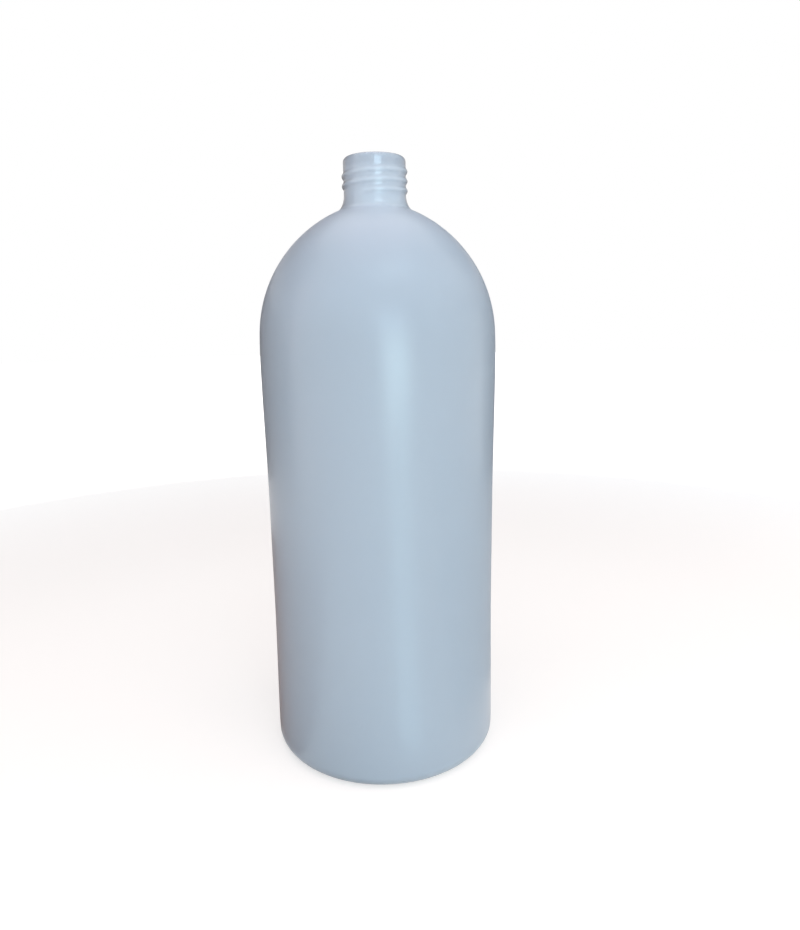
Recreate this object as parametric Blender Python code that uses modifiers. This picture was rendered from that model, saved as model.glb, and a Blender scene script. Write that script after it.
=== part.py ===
"""A one litre boston round bottle: a single blown wall with a domed shoulder and a threaded neck.

Metres, +Z up. The bottle stands on Z = 0, its axis is the Z axis and its front looks along -Y.
"""
import math

import bpy

# Body
BODY_RADIUS = 0.0435
HEEL_RADIUS = 0.005
WAIST_DEPTH = 0.0005
LOWER_EASE = 0.054
WAIST_LENGTH = 0.0375
UPPER_EASE = 0.0542

# Shoulder: a long arc turns the side in a little, then one dome arc closes it to the neck
ENTRY_RADIUS = 0.199
ENTRY_TURN = math.radians(3.0)
DOME_RADIUS = 0.0487

# Neck: a tight hollow arc off the dome, then a slow one that ends in the straight neck
NECK_RADIUS = 0.0111
FLARE_RADIUS = 0.0085
FLARE_TURN = math.radians(27.0)
FOOT_FILLET = 0.004
LAND_LENGTH = 0.00444
LIP_RADIUS = 0.0017
LIP_SHARE = 0.8

# Thread: one right-handed rounded ridge that fades out at both ends
THREAD_PITCH = 0.00325
THREAD_TURNS = 2.5
THREAD_HEIGHT = 0.00062
THREAD_WIDTH = 0.0029
THREAD_LIFT = 0.0001
THREAD_FADE_TURNS = 0.14
THREAD_START = math.radians(-135.0)

# Base: a flat standing ring around a shallow push-up
STANDING_RING_WIDTH = 0.003
PUSH_UP = 0.003

# Walls
BODY_WALL = 0.0009
BASE_WALL = 0.0014
NECK_WALL = 0.00215

# Fineness: how far a straight step may miss its curve on each face of the wall
OUTER_TOLERANCE = 0.00008
INNER_TOLERANCE = 0.0002
RINGS_PER_PITCH = 7
SEGMENTS = 60
MERGE_DISTANCE = 0.00001
SHARP_ANGLE = math.radians(40.0)

OBJECT_NAME = "boston_round_bottle"
PLASTIC_COLOUR = (0.46, 0.54, 0.62, 1.0)
PLASTIC_ROUGHNESS = 0.35


def clear_scene():
    """Remove what the scene holds at the start."""
    for item in list(bpy.data.objects):
        bpy.data.objects.remove(item, do_unlink=True)


def ease(share):
    """A smooth rise from 0 to 1 as share goes from 0 to 1."""
    share = min(max(share, 0.0), 1.0)
    return share * share * (3.0 - 2.0 * share)


def shares(span, bend, tolerance, longest=math.inf):
    """Shares from 0 to 1 along a curve of this span and bend radius, in steps that keep the tolerance."""
    step = min(math.sqrt(8.0 * bend * tolerance), longest)
    count = math.ceil(span / step)
    return [i / count for i in range(count + 1)]


def arc(centre, radius, start, end, tolerance, longest=math.inf):
    """Points (radius, height) along an arc from angle start to angle end, no further apart than longest."""
    steps = shares(radius * abs(end - start), radius, tolerance, longest)
    angles = [start + (end - start) * share for share in steps]
    return [(centre[0] + radius * math.cos(a), centre[1] + radius * math.sin(a)) for a in angles]


def push_up_curve(tolerance):
    """The base's hollow, from its centre out to the standing ring."""
    reach = BODY_RADIUS - HEEL_RADIUS - STANDING_RING_WIDTH
    bend = 2.0 * (reach / math.pi) ** 2 / PUSH_UP
    steps = shares(reach, bend, tolerance)
    return [(reach * s, PUSH_UP * math.cos(0.5 * math.pi * s) ** 2) for s in steps]


def heel_curve(tolerance):
    """The rounded corner from the standing ring up to the side."""
    centre = (BODY_RADIUS - HEEL_RADIUS, HEEL_RADIUS)
    return arc(centre, HEEL_RADIUS, -0.5 * math.pi, 0.0, tolerance)


def body_length():
    """Height of the side between the heel and the shoulder."""
    return LOWER_EASE + WAIST_LENGTH + UPPER_EASE


def body_curve(tolerance):
    """The side, which draws in a little towards its middle."""
    bend = min(LOWER_EASE, UPPER_EASE) ** 2 / (6.0 * WAIST_DEPTH)
    points = []
    for share in shares(body_length(), bend, tolerance):
        up = body_length() * share
        drawn_in = ease(up / LOWER_EASE) * ease((body_length() - up) / UPPER_EASE)
        points.append((BODY_RADIUS - WAIST_DEPTH * drawn_in, HEEL_RADIUS + up))
    return points


def entry_centre():
    """Centre of the long arc that starts the shoulder."""
    return (BODY_RADIUS - ENTRY_RADIUS, HEEL_RADIUS + body_length())


def dome_centre():
    """Centre of the dome arc, which leaves the long arc without a corner."""
    reach = ENTRY_RADIUS - DOME_RADIUS
    centre = entry_centre()
    return (centre[0] + reach * math.cos(ENTRY_TURN), centre[1] + reach * math.sin(ENTRY_TURN))


def fillet_centre():
    """Centre of the tight hollow arc that touches the dome and the flare."""
    dome = dome_centre()
    across = NECK_RADIUS + FLARE_RADIUS * (1.0 - math.cos(FLARE_TURN)) + FOOT_FILLET * math.cos(FLARE_TURN)
    up = math.sqrt((DOME_RADIUS + FOOT_FILLET) ** 2 - (across - dome[0]) ** 2)
    return (across, dome[1] + up)


def dome_end():
    """Angle at which the dome arc meets the tight hollow arc."""
    dome = dome_centre()
    fillet = fillet_centre()
    return math.atan2(fillet[1] - dome[1], fillet[0] - dome[0])


def neck_start():
    """Height at which the neck becomes straight."""
    return fillet_centre()[1] + (FLARE_RADIUS - FOOT_FILLET) * math.sin(FLARE_TURN)


def thread_bottom():
    """Height of the thread's crest at its lower end."""
    return neck_start() + THREAD_LIFT


def ring_spacing():
    """Distance between the rings that carry the thread."""
    return THREAD_PITCH / RINGS_PER_PITCH


def lip_height():
    """Height of the lip, which is the bottle's whole height."""
    return thread_bottom() + THREAD_TURNS * THREAD_PITCH + LAND_LENGTH


def lip_rounding():
    """Radius of the lip's outer edge, kept within the neck's wall."""
    return min(LIP_RADIUS, LIP_SHARE * NECK_WALL)


def join(curves):
    """One run of points out of curves that start where the last one ended."""
    points = list(curves[0])
    for curve in curves[1:]:
        start = curve[0]
        touching = math.dist(points[-1], start) < MERGE_DISTANCE
        points.extend(curve[1:] if touching else curve)
    return points


def skin(tolerance, foot_step):
    """The outer face from the base's centre to the straight neck, and the wall behind each point."""
    dome_finish = dome_end()
    base = push_up_curve(tolerance)
    heel = heel_curve(tolerance)
    side = join([
        body_curve(tolerance),
        arc(entry_centre(), ENTRY_RADIUS, 0.0, ENTRY_TURN, tolerance),
        arc(dome_centre(), DOME_RADIUS, ENTRY_TURN, dome_finish, tolerance),
    ])
    flare_centre = (NECK_RADIUS + FLARE_RADIUS, neck_start())
    flare_foot = FLARE_TURN + math.pi
    foot = join([
        arc(fillet_centre(), FOOT_FILLET, dome_finish + math.pi, flare_foot, tolerance, foot_step),
        arc(flare_centre, FLARE_RADIUS, flare_foot, math.pi, tolerance, foot_step),
    ])
    walls = [BASE_WALL] * len(base)
    walls += [BASE_WALL + (BODY_WALL - BASE_WALL) * i / (len(heel) - 1) for i in range(len(heel))]
    walls += [BODY_WALL] * (len(side) - 1)
    walls += [BODY_WALL + (NECK_WALL - BODY_WALL) * ease(i / (len(foot) - 1)) for i in range(1, len(foot))]
    return join([base, heel, side, foot]), walls


def inset(points, walls):
    """The inner face: each point moved square to the outer face by the wall behind it."""
    moved = []
    last = len(points) - 1
    for i, (point, wall) in enumerate(zip(points, walls)):
        before = points[max(i - 1, 0)]
        after = points[min(i + 1, last)]
        along = (after[0] - before[0], after[1] - before[1])
        length = math.hypot(*along)
        moved.append((point[0] - wall * along[1] / length, point[1] + wall * along[0] / length))
    moved[0] = (0.0, points[0][1] + walls[0])
    moved[-1] = (NECK_RADIUS - NECK_WALL, points[-1][1])
    return moved


def neck_outside():
    """The straight neck from its foot to the lip's rounding, with rings close enough for the thread."""
    bottom = neck_start()
    top = lip_height() - lip_rounding()
    count = math.ceil((top - bottom) / ring_spacing())
    return [(NECK_RADIUS, bottom + (top - bottom) * i / count) for i in range(count + 1)]


def lip_curve():
    """Over the lip, from the outer face to the bore: a round edge, a narrow flat and a small round edge."""
    outer = lip_rounding()
    inner = 0.5 * (NECK_WALL - outer)
    top = lip_height()
    return join([
        arc((NECK_RADIUS - outer, top - outer), outer, 0.0, 0.5 * math.pi, OUTER_TOLERANCE),
        arc((NECK_RADIUS - NECK_WALL + inner, top - inner), inner, 0.5 * math.pi, math.pi, OUTER_TOLERANCE),
    ])


def bottle_profile():
    """The wall's whole section: up the inside, over the lip and down the outside.

    The thread's lower flank runs out on the neck's foot, so the outer face has the thread's rings there.
    """
    outside = join([skin(OUTER_TOLERANCE, ring_spacing())[0], neck_outside(), lip_curve()])
    inside = inset(*skin(INNER_TOLERANCE, NECK_WALL))
    return inside + outside[::-1]


def turned(name, profile):
    """An object that is a profile of (radius, height) points turned about the Z axis."""
    mesh = bpy.data.meshes.new(name)
    points = [(radius, 0.0, height) for radius, height in profile]
    edges = [(i, i + 1) for i in range(len(points) - 1)]
    mesh.from_pydata(points, edges, [])
    item = bpy.data.objects.new(name, mesh)
    screw = item.modifiers.new("turn", "SCREW")
    screw.axis = "Z"
    screw.angle = 2.0 * math.pi
    screw.steps = SEGMENTS
    screw.render_steps = SEGMENTS
    screw.use_merge_vertices = True
    screw.merge_threshold = MERGE_DISTANCE
    return item


def ridge_height(angle, height):
    """How far the thread stands out of the neck at an angle and a height."""
    rise = (height - thread_bottom()) / THREAD_PITCH
    start = ((angle - THREAD_START) / (2.0 * math.pi)) % 1.0
    turn = start + round(rise - start)
    off_crest = abs(rise - turn) * THREAD_PITCH
    half_width = 0.5 * THREAD_WIDTH
    if off_crest >= half_width or not 0.0 < turn < THREAD_TURNS:
        return 0.0
    fade = ease(turn / THREAD_FADE_TURNS) * ease((THREAD_TURNS - turn) / THREAD_FADE_TURNS)
    return THREAD_HEIGHT * fade * math.cos(0.5 * math.pi * off_crest / half_width) ** 2


def raise_thread(item):
    """Fix the turned shape of item as a mesh, and push the thread out of its neck."""
    depsgraph = bpy.context.evaluated_depsgraph_get()
    mesh = bpy.data.meshes.new_from_object(item.evaluated_get(depsgraph))
    foot = fillet_centre()[1]
    for vertex in mesh.vertices:
        across = math.hypot(vertex.co.x, vertex.co.y)
        outside = across > NECK_RADIUS - 0.5 * lip_rounding() and vertex.co.z > foot
        if outside:
            angle = math.atan2(vertex.co.y, vertex.co.x)
            out = 1.0 + ridge_height(angle, vertex.co.z) / across
            vertex.co.x *= out
            vertex.co.y *= out
    item.modifiers.clear()
    item.data = mesh
    mesh.shade_smooth()
    mesh.set_sharp_from_angle(angle=SHARP_ANGLE)


def plastic():
    """Natural polyethylene: milky, satin, faintly blue."""
    material = bpy.data.materials.new("natural_polyethylene")
    material.use_nodes = True
    shader = material.node_tree.nodes["Principled BSDF"]
    shader.inputs["Base Color"].default_value = PLASTIC_COLOUR
    shader.inputs["Roughness"].default_value = PLASTIC_ROUGHNESS
    shader.inputs["Metallic"].default_value = 0.0
    return material


def build():
    """Model the bottle."""
    clear_scene()
    parts = bpy.data.collections.new(OBJECT_NAME)
    bpy.context.scene.collection.children.link(parts)
    bottle = turned("bottle", bottle_profile())
    parts.objects.link(bottle)
    raise_thread(bottle)
    bottle.data.materials.append(plastic())


build()
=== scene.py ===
"""Looks of a one litre boston round bottle, blown in natural polyethylene.

Metres, +Z up. The bottle stands on Z = 0, its axis is the Z axis and its photographed side faces -Y.
"""
import logging
import math
from dataclasses import dataclass, field
from enum import Enum

import bmesh
import bpy
from mathutils import Matrix, Vector, noise


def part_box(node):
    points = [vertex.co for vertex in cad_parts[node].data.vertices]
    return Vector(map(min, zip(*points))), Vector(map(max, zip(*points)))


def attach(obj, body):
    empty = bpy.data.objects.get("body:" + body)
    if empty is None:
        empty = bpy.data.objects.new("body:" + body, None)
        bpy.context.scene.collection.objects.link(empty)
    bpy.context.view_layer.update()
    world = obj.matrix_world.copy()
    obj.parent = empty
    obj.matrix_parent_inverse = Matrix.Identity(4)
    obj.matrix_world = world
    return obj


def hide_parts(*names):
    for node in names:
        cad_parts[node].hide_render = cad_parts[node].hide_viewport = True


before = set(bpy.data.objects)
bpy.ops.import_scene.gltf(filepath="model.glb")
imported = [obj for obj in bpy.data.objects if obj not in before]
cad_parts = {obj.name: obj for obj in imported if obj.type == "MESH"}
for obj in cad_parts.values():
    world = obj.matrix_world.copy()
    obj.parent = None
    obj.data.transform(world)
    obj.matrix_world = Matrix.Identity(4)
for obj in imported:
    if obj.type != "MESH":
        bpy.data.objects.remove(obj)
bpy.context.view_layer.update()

NODE = "bottle"
BODY = "root"
MERGE_DISTANCE = 0.000001
FULL_TURN = 2.0 * math.pi
QUARTER_TURN = 0.5 * math.pi
LIP_OUTER_STEPS = 14
LIP_INNER_STEPS = 6
BORE_STEPS = 6
FLOOR_STEPS = 96

log = logging.getLogger("boston_round")

Point = tuple[float, float]
Colour = tuple[float, float, float]


def ease(share: float) -> float:
    """Rise smoothly from 0 to 1 as share goes from 0 to 1.

    Args:
        share: position along the rise; values outside 0 to 1 are held at the ends.

    Returns:
        The eased value.
    """
    share = min(max(share, 0.0), 1.0)
    return share * share * (3.0 - 2.0 * share)


def arc(centre: Point, radius: float, start: float, end: float, steps: int) -> list[Point]:
    """Give points along an arc in the section plane.

    Args:
        centre: radius and height of the arc's centre.
        radius: the arc's own radius.
        start: first angle, in radians.
        end: last angle, in radians.
        steps: how many stretches the arc is split into.

    Returns:
        The (radius, height) points, both ends included.
    """
    angles = [start + (end - start) * i / steps for i in range(steps + 1)]
    return [(centre[0] + radius * math.cos(a), centre[1] + radius * math.sin(a)) for a in angles]


def joined(curves: list[list[Point]]) -> list[Point]:
    """Chain curves that start where the last one ended.

    Args:
        curves: the stretches, in order.

    Returns:
        One run of points, with each shared end kept once.
    """
    points = list(curves[0])
    for curve in curves[1:]:
        touching = math.dist(points[-1], curve[0]) < MERGE_DISTANCE
        points.extend(curve[1:] if touching else curve)
    return points


def turn_about_axis(
    shell: bmesh.types.BMesh,
    geometry: list[bmesh.types.BMVert | bmesh.types.BMEdge],
    angle: float,
    steps: int,
    closed: bool,
) -> None:
    """Sweep a run of edges about the Z axis.

    Args:
        shell: the mesh that the edges are in.
        geometry: the points and edges to sweep.
        angle: how far they turn, in radians.
        steps: how many stretches the turn is split into.
        closed: whether the last step meets the first one.
    """
    bmesh.ops.spin(
        shell,
        geom=geometry,
        cent=(0.0, 0.0, 0.0),
        axis=(0.0, 0.0, 1.0),
        dvec=(0.0, 0.0, 0.0),
        angle=angle,
        steps=steps,
        use_merge=closed,
        use_duplicate=False,
    )


def placed(name: str, shell: bmesh.types.BMesh) -> bpy.types.Object:
    """Turn a mesh in the making into an object of the scene, unturned at the origin.

    Args:
        name: the object's name.
        shell: the finished mesh, which is used up.

    Returns:
        The object.
    """
    mesh = bpy.data.meshes.new(name)
    shell.to_mesh(mesh)
    shell.free()
    piece = bpy.data.objects.new(name, mesh)
    bpy.context.scene.collection.objects.link(piece)
    return piece


class Stretch(Enum):
    """A stretch of the bottle's wall, from the base's centre up to the straight neck."""

    PUSH_UP = "push_up"
    HEEL = "heel"
    SIDE = "side"
    ENTRY = "entry"
    DOME = "dome"
    FILLET = "fillet"
    FLARE = "flare"


OUTER_STEPS: dict[Stretch, int] = {
    Stretch.PUSH_UP: 16,
    Stretch.HEEL: 12,
    Stretch.SIDE: 26,
    Stretch.ENTRY: 4,
    Stretch.DOME: 40,
    Stretch.FILLET: 10,
    Stretch.FLARE: 18,
}
INNER_STEPS: dict[Stretch, int] = {
    Stretch.PUSH_UP: 8,
    Stretch.HEEL: 6,
    Stretch.SIDE: 8,
    Stretch.ENTRY: 2,
    Stretch.DOME: 18,
    Stretch.FILLET: 4,
    Stretch.FLARE: 6,
}


@dataclass(frozen=True)
class WallSection:
    """The bottle's wall in section: the sizes that its turned shape is drawn from.

    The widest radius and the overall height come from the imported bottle's box.
    """

    body_radius: float
    height: float
    heel_radius: float = 0.005
    waist_depth: float = 0.0005
    lower_ease: float = 0.054
    waist_length: float = 0.0375
    upper_ease: float = 0.0542
    entry_radius: float = 0.199
    entry_turn: float = math.radians(3.0)
    dome_radius: float = 0.0487
    neck_radius: float = 0.0111
    flare_radius: float = 0.0085
    flare_turn: float = math.radians(27.0)
    foot_fillet: float = 0.004
    lip_radius: float = 0.0017
    standing_ring: float = 0.003
    push_up: float = 0.003
    body_wall: float = 0.0009
    base_wall: float = 0.0014
    neck_wall: float = 0.00215
    neck_ring_gap: float = 0.00016

    def push_up_curve(self, steps: int) -> list[Point]:
        """Draw the base's hollow, from its centre to the standing ring.

        Args:
            steps: how many stretches the curve has.

        Returns:
            The (radius, height) points.
        """
        reach = self.body_radius - self.heel_radius - self.standing_ring
        shares = [i / steps for i in range(steps + 1)]
        return [(reach * s, self.push_up * math.cos(QUARTER_TURN * s) ** 2) for s in shares]

    def side_curve(self, steps: int) -> list[Point]:
        """Draw the side, which draws in a little towards its middle.

        Args:
            steps: how many stretches the curve has.

        Returns:
            The (radius, height) points.
        """
        length = self.lower_ease + self.waist_length + self.upper_ease
        points = []
        for i in range(steps + 1):
            up = length * i / steps
            drawn_in = ease(up / self.lower_ease) * ease((length - up) / self.upper_ease)
            points.append((self.body_radius - self.waist_depth * drawn_in, self.heel_radius + up))
        return points

    def entry_centre(self) -> Point:
        """Give the centre of the long arc that starts the shoulder."""
        length = self.lower_ease + self.waist_length + self.upper_ease
        return (self.body_radius - self.entry_radius, self.heel_radius + length)

    def dome_centre(self) -> Point:
        """Give the centre of the dome arc."""
        reach = self.entry_radius - self.dome_radius
        across, up = self.entry_centre()
        return (across + reach * math.cos(self.entry_turn), up + reach * math.sin(self.entry_turn))

    def fillet_centre(self) -> Point:
        """Give the centre of the tight hollow arc between the dome and the flare."""
        across, up = self.dome_centre()
        flare_reach = self.flare_radius * (1.0 - math.cos(self.flare_turn))
        own = self.neck_radius + flare_reach + self.foot_fillet * math.cos(self.flare_turn)
        return (own, up + math.sqrt((self.dome_radius + self.foot_fillet) ** 2 - (own - across) ** 2))

    def dome_end(self) -> float:
        """Give the angle at which the dome meets the tight hollow arc."""
        dome = self.dome_centre()
        fillet = self.fillet_centre()
        return math.atan2(fillet[1] - dome[1], fillet[0] - dome[0])

    def neck_start(self) -> float:
        """Give the height at which the neck becomes straight."""
        reach = self.flare_radius - self.foot_fillet
        return self.fillet_centre()[1] + reach * math.sin(self.flare_turn)

    def skin(self, steps: dict[Stretch, int]) -> tuple[list[Point], list[float]]:
        """Draw the outer face from the base's centre to the straight neck.

        Args:
            steps: how many stretches each part of the curve has.

        Returns:
            The points, and the thickness of the wall behind each of them.
        """
        finish = self.dome_end()
        base = self.push_up_curve(steps[Stretch.PUSH_UP])
        heel_centre = (self.body_radius - self.heel_radius, self.heel_radius)
        heel = arc(heel_centre, self.heel_radius, -QUARTER_TURN, 0.0, steps[Stretch.HEEL])
        side = joined([
            self.side_curve(steps[Stretch.SIDE]),
            arc(self.entry_centre(), self.entry_radius, 0.0, self.entry_turn, steps[Stretch.ENTRY]),
            arc(self.dome_centre(), self.dome_radius, self.entry_turn, finish, steps[Stretch.DOME]),
        ])
        flare_centre = (self.neck_radius + self.flare_radius, self.neck_start())
        flare_foot = self.flare_turn + math.pi
        fillet_start = finish + math.pi
        foot = joined([
            arc(self.fillet_centre(), self.foot_fillet, fillet_start, flare_foot, steps[Stretch.FILLET]),
            arc(flare_centre, self.flare_radius, flare_foot, math.pi, steps[Stretch.FLARE]),
        ])
        thinning = (self.body_wall - self.base_wall) / steps[Stretch.HEEL]
        thickening = self.neck_wall - self.body_wall
        walls = [self.base_wall] * len(base)
        walls += [self.base_wall + thinning * i for i in range(len(heel))]
        walls += [self.body_wall] * (len(side) - 1)
        walls += [self.body_wall + thickening * ease(i / (len(foot) - 1)) for i in range(1, len(foot))]
        return joined([base, heel, side, foot]), walls

    def inset(self, points: list[Point], walls: list[float]) -> list[Point]:
        """Draw the inner face behind an outer one.

        Args:
            points: the outer face, from the base's centre up.
            walls: the wall behind each point.

        Returns:
            Each point moved square to the face by its wall.
        """
        moved = []
        last = len(points) - 1
        for i, (point, wall) in enumerate(zip(points, walls)):
            before = points[max(i - 1, 0)]
            after = points[min(i + 1, last)]
            along = (after[0] - before[0], after[1] - before[1])
            length = math.hypot(*along)
            moved.append((point[0] - wall * along[1] / length, point[1] + wall * along[0] / length))
        moved[0] = (0.0, points[0][1] + walls[0])
        moved[-1] = (self.neck_radius - self.neck_wall, points[-1][1])
        return moved

    def neck_outside(self) -> list[Point]:
        """Draw the straight neck, with rings close enough to carry the thread."""
        bottom = self.neck_start()
        top = self.height - self.lip_radius
        count = math.ceil((top - bottom) / self.neck_ring_gap)
        return [(self.neck_radius, bottom + (top - bottom) * i / count) for i in range(count + 1)]

    def lip_curve(self) -> list[Point]:
        """Draw over the lip: a round outer edge, a narrow flat and a small inner edge."""
        inner = 0.5 * (self.neck_wall - self.lip_radius)
        bore = self.neck_radius - self.neck_wall
        outer_centre = (self.neck_radius - self.lip_radius, self.height - self.lip_radius)
        return joined([
            arc(outer_centre, self.lip_radius, 0.0, QUARTER_TURN, LIP_OUTER_STEPS),
            arc((bore + inner, self.height - inner), inner, QUARTER_TURN, math.pi, LIP_INNER_STEPS),
        ])

    def bore(self) -> list[Point]:
        """Draw the bore's straight stretch, from the lip's inner edge down."""
        inner = 0.5 * (self.neck_wall - self.lip_radius)
        radius = self.neck_radius - self.neck_wall
        top = self.height - inner
        bottom = self.neck_start()
        return [(radius, top + (bottom - top) * i / BORE_STEPS) for i in range(BORE_STEPS + 1)]

    def outline(self) -> list[Point]:
        """Draw the wall's whole section, up the outside, over the lip and down the inside."""
        outside = joined([self.skin(OUTER_STEPS)[0], self.neck_outside(), self.lip_curve(), self.bore()])
        inside = self.inset(*self.skin(INNER_STEPS))
        return joined([outside, inside[::-1]])


@dataclass(frozen=True)
class NeckThread:
    """One right-handed rounded ridge that winds up the neck and fades out at both ends."""

    neck_start: float
    lift: float = 0.0001
    pitch: float = 0.00325
    turns: float = 2.5
    height: float = 0.00062
    width: float = 0.0029
    fade_turns: float = 0.14
    start: float = math.radians(-135.0)

    def rise(self, angle: float, up: float) -> float:
        """Say how far the ridge stands out of the neck.

        Args:
            angle: direction from the axis, in radians.
            up: height of the point.

        Returns:
            The ridge's height there, 0 away from it.
        """
        climbed = (up - (self.neck_start + self.lift)) / self.pitch
        begun = ((angle - self.start) / FULL_TURN) % 1.0
        turn = begun + round(climbed - begun)
        off_crest = abs(climbed - turn) * self.pitch
        half_width = 0.5 * self.width
        if off_crest >= half_width or not 0.0 < turn < self.turns:
            return 0.0
        fade = ease(turn / self.fade_turns) * ease((self.turns - turn) / self.fade_turns)
        return self.height * fade * math.cos(QUARTER_TURN * off_crest / half_width) ** 2


@dataclass(frozen=True)
class MouldMarks:
    """What the mould leaves on the blown wall: two parting lines and a weld across the base."""

    angle: float = math.radians(7.0)
    line_height: float = 0.00006
    line_half_width: float = 0.00025
    weld_length: float = 0.031
    weld_height: float = 0.00035
    weld_half_width: float = 0.0008
    weld_fade: float = 0.15
    wave_depth: float = 0.00006
    wave_size: float = 0.045
    wave_rise: float = 0.03

    def plane(self) -> Vector:
        """Give the direction square to the mould's parting plane."""
        return Vector((-math.sin(self.angle), math.cos(self.angle), 0.0))

    def cuts(self) -> list[float]:
        """Give the distances from the parting plane at which the narrow ridges need edges."""
        widths = (self.line_half_width, self.weld_half_width)
        return sorted([side * width for width in widths for side in (-1.0, -0.5, 0.5, 1.0)] + [0.0])

    def across(self, point: Vector) -> float:
        """Give a point's distance from the mould's parting plane.

        Args:
            point: a position on the bottle.

        Returns:
            The distance, never negative.
        """
        return abs(point.y * math.cos(self.angle) - point.x * math.sin(self.angle))

    def line(self, point: Vector) -> float:
        """Give the height of the parting line's ridge at a point.

        Args:
            point: a position on the outer face.

        Returns:
            The ridge's height, 0 away from it.
        """
        return self.line_height * (1.0 - ease(self.across(point) / self.line_half_width))

    def weld(self, point: Vector) -> float:
        """Give the height of the base's weld at a point.

        Args:
            point: a position on the underside.

        Returns:
            The weld's height, 0 away from it.
        """
        reach = math.hypot(point.x, point.y) / self.weld_length
        along = 1.0 - ease((reach - (1.0 - self.weld_fade)) / self.weld_fade)
        return self.weld_height * along * (1.0 - ease(self.across(point) / self.weld_half_width))

    def wave(self, point: Vector) -> float:
        """Give how far the wall sinks at a point, as the plastic shrinks unevenly.

        Args:
            point: a position on the outer face.

        Returns:
            The depth, which grows from nothing at the foot.
        """
        depth = self.wave_depth * (0.5 + 0.5 * noise.noise(point / self.wave_size))
        return depth * ease(point.z / self.wave_rise)


class Term:
    """A value in a shader: a socket that adds its Math nodes when it is reckoned with."""

    def __init__(self, sheet: "ShaderSheet", socket: bpy.types.NodeSocket) -> None:
        """Wrap a socket.

        Args:
            sheet: the node sheet that the socket is in.
            socket: the output to wrap.
        """
        self.sheet = sheet
        self.socket = socket

    def _math(self, operation: str, first: object, second: object) -> "Term":
        """Add one Math node and wrap its result."""
        made = self.sheet.node("ShaderNodeMath", {"operation": operation}, {0: first, 1: second})
        return Term(self.sheet, made.outputs[0])

    def __add__(self, other: object) -> "Term":
        """Add."""
        return self._math("ADD", self, other)

    __radd__ = __add__

    def __sub__(self, other: object) -> "Term":
        """Subtract."""
        return self._math("SUBTRACT", self, other)

    def __rsub__(self, other: object) -> "Term":
        """Subtract this from other."""
        return self._math("SUBTRACT", other, self)

    def __mul__(self, other: object) -> "Term":
        """Multiply."""
        return self._math("MULTIPLY", self, other)

    __rmul__ = __mul__


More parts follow.
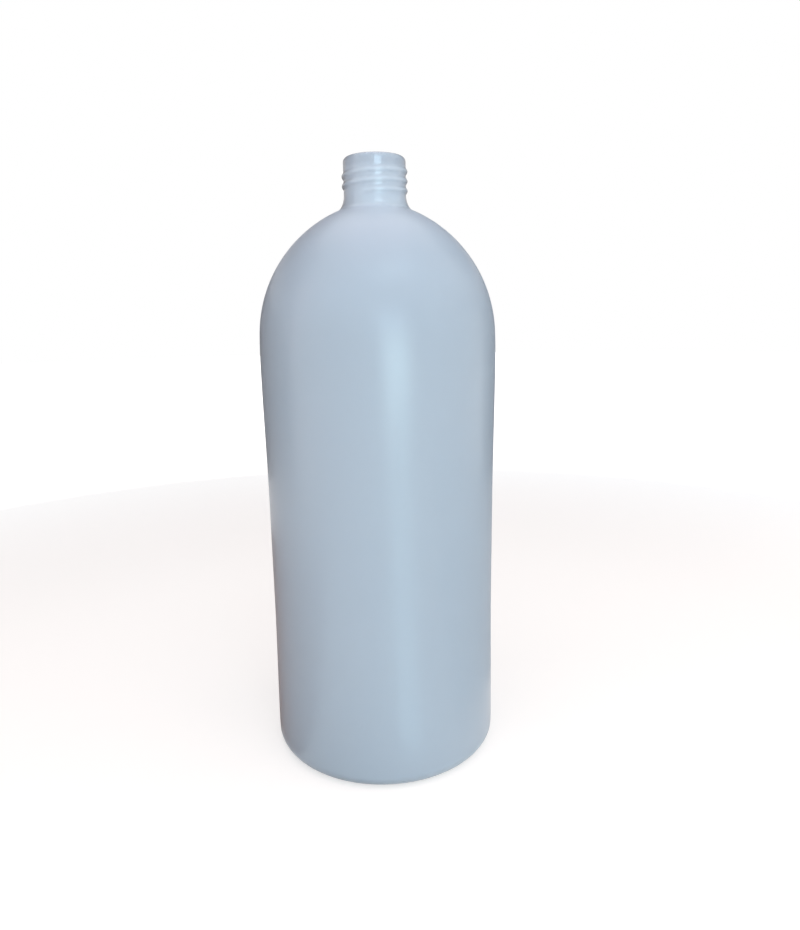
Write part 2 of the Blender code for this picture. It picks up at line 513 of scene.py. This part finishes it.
class ShaderSheet:
    """The node sheet of one material or world."""

    def __init__(self, owner: bpy.types.ID, output: str) -> None:
        """Clear the owner's sheet and give it an output.

        Args:
            owner: the material or world that the sheet belongs to.
            output: the type of its output node.
        """
        owner.use_nodes = True
        self.owner = owner
        self.tree = owner.node_tree
        self.tree.nodes.clear()
        self.output = self.tree.nodes.new(output)

    @classmethod
    def for_material(cls, name: str) -> "ShaderSheet":
        """Start an empty material.

        Args:
            name: the material's name.

        Returns:
            Its sheet.
        """
        return cls(bpy.data.materials.new(name), "ShaderNodeOutputMaterial")

    @classmethod
    def for_world(cls, name: str) -> "ShaderSheet":
        """Start an empty world.

        Args:
            name: the world's name.

        Returns:
            Its sheet.
        """
        return cls(bpy.data.worlds.new(name), "ShaderNodeOutputWorld")

    def node(
        self, kind: str, settings: dict[str, object], values: dict[object, object]
    ) -> bpy.types.Node:
        """Add one node.

        Args:
            kind: the node's type.
            settings: its properties.
            values: a number, colour, Term or socket for each named or numbered input.

        Returns:
            The new node.
        """
        made = self.tree.nodes.new(kind)
        for key, value in settings.items():
            setattr(made, key, value)
        for key, value in values.items():
            self._feed(made.inputs[key], value)
        return made

    def _feed(self, socket: bpy.types.NodeSocket, value: object) -> None:
        """Link or set one input."""
        if isinstance(value, Term):
            value = value.socket
        if isinstance(value, bpy.types.NodeSocket):
            self.tree.links.new(value, socket)
        elif socket.type == "RGBA" and len(value) == 3:
            socket.default_value = (*value, 1.0)
        else:
            socket.default_value = value

    def term(self, node: bpy.types.Node, output: object = 0) -> Term:
        """Wrap one output of a node.

        Args:
            node: the node.
            output: the output's number or name.

        Returns:
            The wrapped output.
        """
        return Term(self, node.outputs[output])

    def sight(self) -> Term:
        """Give 1 on rays from the camera, a reflection or glass, and 0 on those that light things."""
        path = self.node("ShaderNodeLightPath", {}, {})
        direct = self._or(path.outputs["Is Camera Ray"], path.outputs["Is Glossy Ray"])
        return self._or(direct.socket, path.outputs["Is Transmission Ray"])

    def _or(self, first: bpy.types.NodeSocket, second: bpy.types.NodeSocket) -> Term:
        """Give the larger of two values."""
        return self.term(self.node("ShaderNodeMath", {"operation": "MAXIMUM"}, {0: first, 1: second}))

    def place(self) -> bpy.types.NodeSocket:
        """Give the position on the piece, in metres."""
        return self.node("ShaderNodeTexCoord", {}, {}).outputs["Object"]

    def ramp(self, factor: Term, low: float, high: float) -> Term:
        """Map a value smoothly to 0 at low and 1 at high.

        Args:
            factor: the value.
            low: where the result is 0.
            high: where the result is 1.

        Returns:
            The mapped value.
        """
        settings = {"interpolation_type": "SMOOTHSTEP"}
        values = {"Value": factor, "From Min": low, "From Max": high}
        return self.term(self.node("ShaderNodeMapRange", settings, values), "Result")

    def noise(self, place: bpy.types.NodeSocket, size: float, detail: float, roughness: float) -> Term:
        """Give a smooth noise between 0 and 1.

        Args:
            place: the position that it varies with.
            size: how large its patches are, in metres.
            detail: how many finer layers it has.
            roughness: how strong the finer layers are.

        Returns:
            The noise.
        """
        values = {"Vector": place, "Scale": 1.0 / size, "Detail": detail, "Roughness": roughness}
        return self.term(self.node("ShaderNodeTexNoise", {}, values))

    def vector(self, operation: str, *vectors: object) -> bpy.types.NodeSocket:
        """Add one Vector Math node.

        Args:
            operation: what the node does.
            vectors: its inputs, in order.

        Returns:
            The socket of the vector that it gives.
        """
        made = self.node("ShaderNodeVectorMath", {"operation": operation}, dict(enumerate(vectors)))
        return made.outputs["Vector"]

    def measure(self, operation: str, *vectors: object) -> Term:
        """Add one Vector Math node that gives a number, such as a length.

        Args:
            operation: what the node does.
            vectors: its inputs, in order.

        Returns:
            The number.
        """
        made = self.node("ShaderNodeVectorMath", {"operation": operation}, dict(enumerate(vectors)))
        return self.term(made, "Value")

    def mix(self, factor: object, first: object, second: object) -> bpy.types.NodeSocket:
        """Mix two colours.

        Args:
            factor: 0 for the first, 1 for the second.
            first: a colour or a socket.
            second: a colour or a socket.

        Returns:
            The mixed colour's socket.
        """
        made = self.node("ShaderNodeMix", {"data_type": "RGBA"}, {0: factor, 6: first, 7: second})
        return made.outputs[2]

    def finish(self, shader: bpy.types.NodeSocket) -> bpy.types.ID:
        """Send a shader to the surface.

        Args:
            shader: the output of the last shader node.

        Returns:
            The finished material or world.
        """
        self.tree.links.new(shader, self.output.inputs["Surface"])
        return self.owner


@dataclass(frozen=True)
class NaturalPolyethylene:
    """Uncoloured polyethylene: milky, faintly blue, satin on the body and glossier on the neck.

    The heights say where the wall thickens, where the neck begins and where the land's darker edge is,
    and the root radius is that of the bare neck.
    """

    root_radius: float
    slot: str = "natural_polyethylene"
    milk: Colour = (0.42, 0.50, 0.585)
    thick: Colour = (0.50, 0.58, 0.67)
    # The thread crests' colour: lighter than the grooves, partly for the thicker wall at the crests and
    # partly as painted light on the crests and painted shade in the grooves.
    crest_thick_and_lit: Colour = (0.51, 0.59, 0.68)
    lip: Colour = (0.42, 0.49, 0.575)
    body_roughness: float = 0.29
    gloss: float = 1.0
    gloss_roughness: float = 0.07
    thick_from: float = 0.185
    thick_to: float = 0.206
    neck_from: float = 0.2025
    neck_to: float = 0.2055
    lip_from: float = 0.2168
    lip_to: float = 0.2188
    crest_radius: float = 0.0118
    calm: float = 0.85
    calm_from: float = 0.5
    calm_to: float = 0.85
    refraction: float = 1.5
    depth: float = 0.0025
    milkiness: float = 0.5
    grain_size: float = 0.00035
    grain_height: float = 0.0000025
    neck_grain: float = 0.2
    cloud_size: float = 0.03
    cloud_in_colour: float = 0.2
    cloud_in_roughness: float = 0.05

    def material(self) -> bpy.types.Material:
        """Build the plastic.

        Returns:
            The finished material.
        """
        sheet = ShaderSheet.for_material("milky_plastic")
        place = sheet.place()
        split = sheet.node("ShaderNodeSeparateXYZ", {}, {0: place})
        height = sheet.term(split, "Z")
        neck = sheet.ramp(height, self.neck_from, self.neck_to)
        cloud = sheet.noise(place, self.cloud_size, detail=3.0, roughness=0.5) - 0.5
        grain = sheet.noise(place, self.grain_size, detail=2.0, roughness=0.6)
        thickness = sheet.ramp(height, self.thick_from, self.thick_to) + cloud * self.cloud_in_colour
        wall_colour = sheet.mix(thickness, self.milk, self.thick)
        spoke = sheet.vector("MULTIPLY", place, (1.0, 1.0, 0.0))
        # Painted shade in the thread's grooves and painted light on its crests, partly also the thicker
        # wall at the crests: the colour lightens from the bare neck's radius out to the crests.
        crest_lit_share = sheet.ramp(sheet.measure("LENGTH", spoke), self.root_radius, self.crest_radius) * neck
        crest_lit_colour = sheet.mix(crest_lit_share, wall_colour, self.crest_thick_and_lit)
        colour = sheet.mix(sheet.ramp(height, self.lip_from, self.lip_to), crest_lit_colour, self.lip)
        rough = self.body_roughness + cloud * self.cloud_in_roughness
        relief = grain * (1.0 - neck * (1.0 - self.neck_grain))
        calmed = self.calmed_normal(sheet, sheet.vector("NORMALIZE", spoke), neck)
        bump_values = {"Distance": self.grain_height, "Height": relief, "Normal": calmed}
        bump = sheet.node("ShaderNodeBump", {}, {"Strength": 1.0, **bump_values})
        values = {
            "Base Color": colour,
            "Roughness": rough,
            "IOR": self.refraction,
            "Subsurface Weight": self.milkiness,
            "Subsurface Radius": (1.0, 1.0, 1.0),
            "Subsurface Scale": self.depth,
            "Coat Weight": neck * self.gloss,
            "Coat Roughness": self.gloss_roughness,
            "Coat IOR": self.refraction,
            "Normal": bump.outputs["Normal"],
        }
        shader = sheet.node("ShaderNodeBsdfPrincipled", {}, values)
        return sheet.finish(shader.outputs[0])

    def calmed_normal(
        self, sheet: ShaderSheet, spoke: bpy.types.NodeSocket, neck: Term
    ) -> bpy.types.NodeSocket:
        """Turn the neck's outer faces part of the way to the bare neck, as light spreads in its wall.

        Args:
            sheet: the material's node sheet.
            spoke: the direction straight out from the axis.
            neck: 1 on the neck, 0 on the body.

        Returns:
            The direction that the milky depth faces.
        """
        facing = sheet.node("ShaderNodeNewGeometry", {}, {}).outputs["Normal"]
        outward = sheet.measure("DOT_PRODUCT", facing, spoke)
        share = sheet.ramp(outward, self.calm_from, self.calm_to) * neck * self.calm
        settings = {"data_type": "VECTOR"}
        turned = sheet.node("ShaderNodeMix", settings, {0: share, 4: facing, 5: spoke}).outputs[1]
        return sheet.vector("NORMALIZE", turned)


@dataclass
class BlownBottle:
    """The bottle: one blown wall with its neck, thread and mould marks."""

    section: WallSection
    thread: NeckThread
    marks: MouldMarks
    finish: NaturalPolyethylene
    segments: int = 256

    def shell(self) -> bmesh.types.BMesh:
        """Turn the wall's section about the axis.

        Returns:
            A closed mesh with its faces pointing out.
        """
        shell = bmesh.new()
        verts = [shell.verts.new((r, 0.0, z)) for r, z in self.section.outline()]
        edges = [shell.edges.new(pair) for pair in zip(verts, verts[1:])]
        turn_about_axis(shell, verts + edges, FULL_TURN, self.segments, closed=True)
        bmesh.ops.remove_doubles(shell, verts=shell.verts[:], dist=MERGE_DISTANCE)
        self.cut_for_marks(shell)
        bmesh.ops.recalc_face_normals(shell, faces=shell.faces[:])
        return shell

    def cut_for_marks(self, shell: bmesh.types.BMesh) -> None:
        """Add edges along the parting plane, so that its narrow ridges have faces of their own.

        Args:
            shell: the turned wall.
        """
        normal = self.marks.plane()
        for offset in self.marks.cuts():
            geometry = shell.verts[:] + shell.edges[:] + shell.faces[:]
            bmesh.ops.bisect_plane(
                shell, geom=geometry, dist=MERGE_DISTANCE, plane_co=normal * offset, plane_no=normal
            )

    def is_outside(self, vert: bmesh.types.BMVert) -> bool:
        """Say whether a point is on the wall's outer face.

        Args:
            vert: a point of the turned wall.

        Returns:
            True on the outside of the body, shoulder or neck.
        """
        radial = Vector((vert.co.x, vert.co.y, 0.0))
        section = self.section
        if vert.co.z > section.fillet_centre()[1]:
            return radial.length > section.neck_radius - 0.5 * section.lip_radius
        centre_across, centre_up = section.dome_centre()
        if vert.co.z > centre_up:
            reach = math.hypot(radial.length - centre_across, vert.co.z - centre_up)
            return reach > section.dome_radius - 0.5 * section.body_wall
        return radial.length > section.body_radius - section.waist_depth - 0.5 * section.body_wall

    def is_under(self, vert: bmesh.types.BMVert) -> bool:
        """Say whether a point is on the underside of the base.

        Args:
            vert: a point of the turned wall.

        Returns:
            True where the base's outer face looks down.
        """
        return vert.normal.z < -0.5 and vert.co.z < self.section.push_up + 0.5 * self.section.base_wall

    def shape_surface(self, shell: bmesh.types.BMesh) -> None:
        """Raise the thread, the parting lines and the weld, and let the wall sink a little.

        Args:
            shell: the turned wall.
        """
        shell.normal_update()
        moves = []
        for vert in shell.verts:
            out = Vector((vert.co.x, vert.co.y, 0.0))
            if self.is_under(vert):
                moves.append((vert, Vector((0.0, 0.0, -self.marks.weld(vert.co)))))
            elif self.is_outside(vert) and out.length > 0.0:
                out.normalize()
                height = self.thread.rise(math.atan2(vert.co.y, vert.co.x), vert.co.z)
                up_the_dome = (vert.co.z - self.section.dome_centre()[1]) / self.section.dome_radius
                body = 1.0 - ease(up_the_dome)
                height += self.marks.line(vert.co) - self.marks.wave(vert.co) * body
                moves.append((vert, out * height))
        for vert, move in moves:
            vert.co += move

    def build(self) -> bpy.types.Object:
        """Model the bottle and give it its finish.

        Returns:
            The finished piece.
        """
        shell = self.shell()
        self.shape_surface(shell)
        for face in shell.faces:
            face.smooth = True
        piece = placed("blown_bottle", shell)
        piece.data.materials.append(self.finish.material())
        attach(piece, BODY)
        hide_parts(NODE)
        return piece


@dataclass(frozen=True)
class Lamp:
    """A soft rectangular lamp, placed by its direction from the bottle.

    The azimuth is counted in degrees to the right of the camera, the elevation in degrees up, and the
    glow is how bright the lamp's face is in each colour.
    """

    name: str
    azimuth: float
    elevation: float
    distance: float
    width: float
    tall: float
    glow: Colour

    def build(self, target: Vector) -> bpy.types.Object:
        """Hang the lamp so that it faces its target.

        Args:
            target: the point it shines at.

        Returns:
            The lamp.
        """
        brightest = max(self.glow)
        light = bpy.data.lights.new(self.name, "AREA")
        light.shape = "RECTANGLE"
        light.size = self.width
        light.size_y = self.tall
        light.energy = math.pi * self.width * self.tall * brightest
        light.color = [share / brightest for share in self.glow]
        lamp = bpy.data.objects.new(self.name, light)
        azimuth = math.radians(self.azimuth)
        elevation = math.radians(self.elevation)
        flat = math.cos(elevation)
        way = Vector((math.sin(azimuth) * flat, -math.cos(azimuth) * flat, math.sin(elevation)))
        lamp.location = target + way * self.distance
        lamp.rotation_euler = way.to_track_quat("Z", "Y").to_euler()
        lamp.visible_camera = False
        bpy.context.scene.collection.objects.link(lamp)
        return lamp


@dataclass(frozen=True)
class Screen:
    """A screen or card in an arc around the bottle, out of the camera's sight.

    Dull ones give the bottle's pale edges a darker tone, and a glowing one stands for the window's light
    on the floor. Middle and spread are azimuths counted as a lamp's, and foot and top are the radius and
    height of the two edges.
    """

    name: str
    middle: float
    spread: float
    foot: Point
    top: Point
    colour: Colour
    only_reflected: bool = False
    glows: bool = False
    steps: int = 12

    def build(self) -> bpy.types.Object:
        """Set the screen up, where only light and reflections, or reflections alone, meet it.

        Returns:
            The screen.
        """
        start = math.radians(self.middle - self.spread)
        across, along = math.sin(start), -math.cos(start)
        shell = bmesh.new()
        ends = [shell.verts.new((r * across, r * along, z)) for r, z in (self.foot, self.top)]
        whole = 2.0 * math.radians(self.spread)
        turn_about_axis(shell, ends + [shell.edges.new(ends)], whole, self.steps, closed=False)
        piece = placed(self.name, shell)
        piece.visible_camera = False
        piece.visible_diffuse = not self.only_reflected
        piece.visible_shadow = not self.only_reflected
        sheet = ShaderSheet.for_material(self.name)
        kind = "ShaderNodeEmission" if self.glows else "ShaderNodeBsdfDiffuse"
        paint = sheet.node(kind, {}, {"Color": self.colour})
        piece.data.materials.append(sheet.finish(paint.outputs[0]))
        return piece


@dataclass(frozen=True)
class Studio:
    """A plain white floor in a white surround, the soft lamps and the screens.

    The floor's glow grows from near to far, and the shade is where it throws less light at the heel:
    within shade_far of the axis, and to the left of shade_right.
    """

    floor_radius: float = 3.0
    floor_colour: Colour = (0.58, 0.54, 0.50)
    shaded_colour: Colour = (0.16, 0.14, 0.13)
    near_glow: Colour = (0.56, 0.57, 0.58)
    far_glow: Colour = (0.90, 0.95, 0.98)
    near: float = 0.25
    far: float = 0.80
    shade_near: float = 0.06
    shade_far: float = 0.12
    shade_left: float = -0.025
    shade_right: float = 0.03
    ambient: Colour = (1.02, 0.968, 0.962)
    target: Vector = field(default_factory=lambda: Vector((0.0, 0.0, 0.11)))
    lamps: tuple[Lamp, ...] = (
        Lamp("window_low", 16.0, 0.0, 1.0, 0.38, 0.21, (5.2, 7.4, 7.9)),
        Lamp("window_high", 11.5, 16.5, 1.0, 0.40, 0.17, (2.7, 3.9, 4.8)),
        Lamp("skylight", 24.0, 58.0, 1.0, 0.50, 0.14, (2.2, 2.8, 3.2)),
        Lamp("side", -100.0, 22.0, 1.2, 0.9, 0.8, (0.9, 0.5, 0.58)),
        Lamp("front", -20.0, 40.0, 1.2, 0.9, 0.8, (0.06, 0.13, 0.19)),
        Lamp("ceiling", 0.0, 90.0, 1.2, 0.9, 0.9, (0.29, 0.14, 0.21)),
    )
    screens: tuple[Screen, ...] = (
        Screen("screen_left", -125.0, 40.0, (0.5, 0.0), (0.5, 0.75), (0.16, 0.13, 0.11)),
        Screen("screen_right", 155.0, 40.0, (0.5, 0.0), (0.5, 0.75), (0.22, 0.23, 0.25)),
        Screen("light_strip", 180.0, 100.0, (0.48, 0.27), (0.48, 0.36), (0.60, 0.57, 0.55)),
        Screen(
            "low_card", -105.0, 50.0, (0.046, 0.0005), (0.3, 0.0005), (0.50, 0.33, 0.25),
            only_reflected=True,
        ),
        Screen(
            "pale_card", 105.0, 50.0, (0.075, 0.0005), (0.6, 0.0005), (0.74, 0.79, 0.81),
            only_reflected=True,
        ),
        Screen(
            "window_on_floor", 18.0, 9.0, (0.07, 0.0005), (0.8, 0.0005), (1.9, 2.4, 2.6),
            only_reflected=True, glows=True,
        ),
    )

    def floor(self) -> bpy.types.Object:
        """Lay the floor.

        Returns:
            The floor.
        """
        disc = bmesh.new()
        bmesh.ops.create_circle(disc, cap_ends=True, segments=FLOOR_STEPS, radius=self.floor_radius)
        piece = placed("floor", disc)
        piece.data.materials.append(self.floor_material())
        return piece

    def floor_material(self) -> bpy.types.Material:
        """Build a matt floor that looks white and keeps the bottle's shadow.

        It glows more away from the bottle, so that no horizon shows, and throws less light back at the
        left of the heel.

        Returns:
            The finished material.
        """
        sheet = ShaderSheet.for_material("floor_white")
        place = sheet.place()
        away = sheet.measure("LENGTH", place)
        glow_colour = sheet.mix(sheet.ramp(away, self.near, self.far), self.near_glow, self.far_glow)
        across = sheet.term(sheet.node("ShaderNodeSeparateXYZ", {}, {0: place}), "X")
        beyond = sheet.ramp(away, self.shade_near, self.shade_far)
        right = sheet.ramp(across, self.shade_left, self.shade_right)
        shade = (1.0 - beyond) * (1.0 - right)
        thrown_colour = sheet.mix(shade, self.floor_colour, self.shaded_colour)
        paint = sheet.node("ShaderNodeBsdfDiffuse", {}, {"Color": self.floor_colour})
        thrown = sheet.node("ShaderNodeBsdfDiffuse", {}, {"Color": thrown_colour})
        glow = sheet.node("ShaderNodeEmission", {}, {"Color": glow_colour})
        lit = sheet.node("ShaderNodeAddShader", {}, {0: paint.outputs[0], 1: glow.outputs[0]})
        values = {0: sheet.sight(), 1: thrown.outputs[0], 2: lit.outputs[0]}
        mixed = sheet.node("ShaderNodeMixShader", {}, values)
        return sheet.finish(mixed.outputs[0])

    def surround(self) -> None:
        """Set the world: white where the camera, a reflection or glass sees it, daylight elsewhere."""
        sheet = ShaderSheet.for_world("surround")
        daylight = sheet.node("ShaderNodeBackground", {}, {"Color": self.ambient, "Strength": 1.0})
        white = sheet.node("ShaderNodeBackground", {}, {"Color": (1.0, 1.0, 1.0), "Strength": 1.0})
        values = {0: sheet.sight(), 1: daylight.outputs[0], 2: white.outputs[0]}
        mixed = sheet.node("ShaderNodeMixShader", {}, values)
        bpy.context.scene.world = sheet.finish(mixed.outputs[0])

    def build(self) -> None:
        """Set up the floor, the surround, the lamps and the screens."""
        self.floor()
        self.surround()
        for lamp in self.lamps:
            lamp.build(self.target)
        for screen in self.screens:
            screen.build()
        bpy.context.scene.view_settings.view_transform = "Standard"


@dataclass(frozen=True)
class PhotoCamera:
    """The camera of the photograph: close, above the bottle's middle and tilted down."""

    distance: float = 0.2652
    height: float = 0.1666
    pitch: float = math.radians(12.0)
    yaw: float = 0.0282
    roll: float = -0.0152
    focal_pixels: float = 700.0
    frame_height_pixels: float = 930.0
    sensor: float = 36.0
    nearest: float = 0.01

    def build(self) -> bpy.types.Object:
        """Place the camera and make it the scene's.

        Returns:
            The camera.
        """
        data = bpy.data.cameras.new("photo_camera")
        data.sensor_width = self.sensor
        data.lens = self.focal_pixels * self.sensor / self.frame_height_pixels
        data.clip_start = self.nearest
        camera = bpy.data.objects.new("photo_camera", data)
        level = math.cos(self.pitch)
        ahead = Vector((math.sin(self.yaw) * level, math.cos(self.yaw) * level, -math.sin(self.pitch)))
        right = Vector((math.cos(self.yaw), -math.sin(self.yaw), 0.0))
        up = right.cross(ahead)
        rolled_right = right * math.cos(self.roll) + up * math.sin(self.roll)
        rolled_up = up * math.cos(self.roll) - right * math.sin(self.roll)
        turn = Matrix((rolled_right, rolled_up, -ahead)).transposed().to_4x4()
        camera.matrix_world = Matrix.Translation((0.0, -self.distance, self.height)) @ turn
        bpy.context.scene.collection.objects.link(camera)
        bpy.context.scene.camera = camera
        return camera


def main() -> None:
    """Build the bottle, the studio and the camera."""
    logging.basicConfig(level=logging.INFO, format="%(name)s: %(message)s")
    low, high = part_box(NODE)
    section = WallSection(body_radius=float(high[0]), height=float(high[2]))
    thread = NeckThread(neck_start=section.neck_start())
    plastic = NaturalPolyethylene(root_radius=section.neck_radius)
    bottle = BlownBottle(section, thread, MouldMarks(), plastic)
    piece = bottle.build()
    log.info("%s: %d faces", piece.name, len(piece.data.polygons))
    PhotoCamera().build()
    Studio().build()


if __name__ == "__main__":
    main()
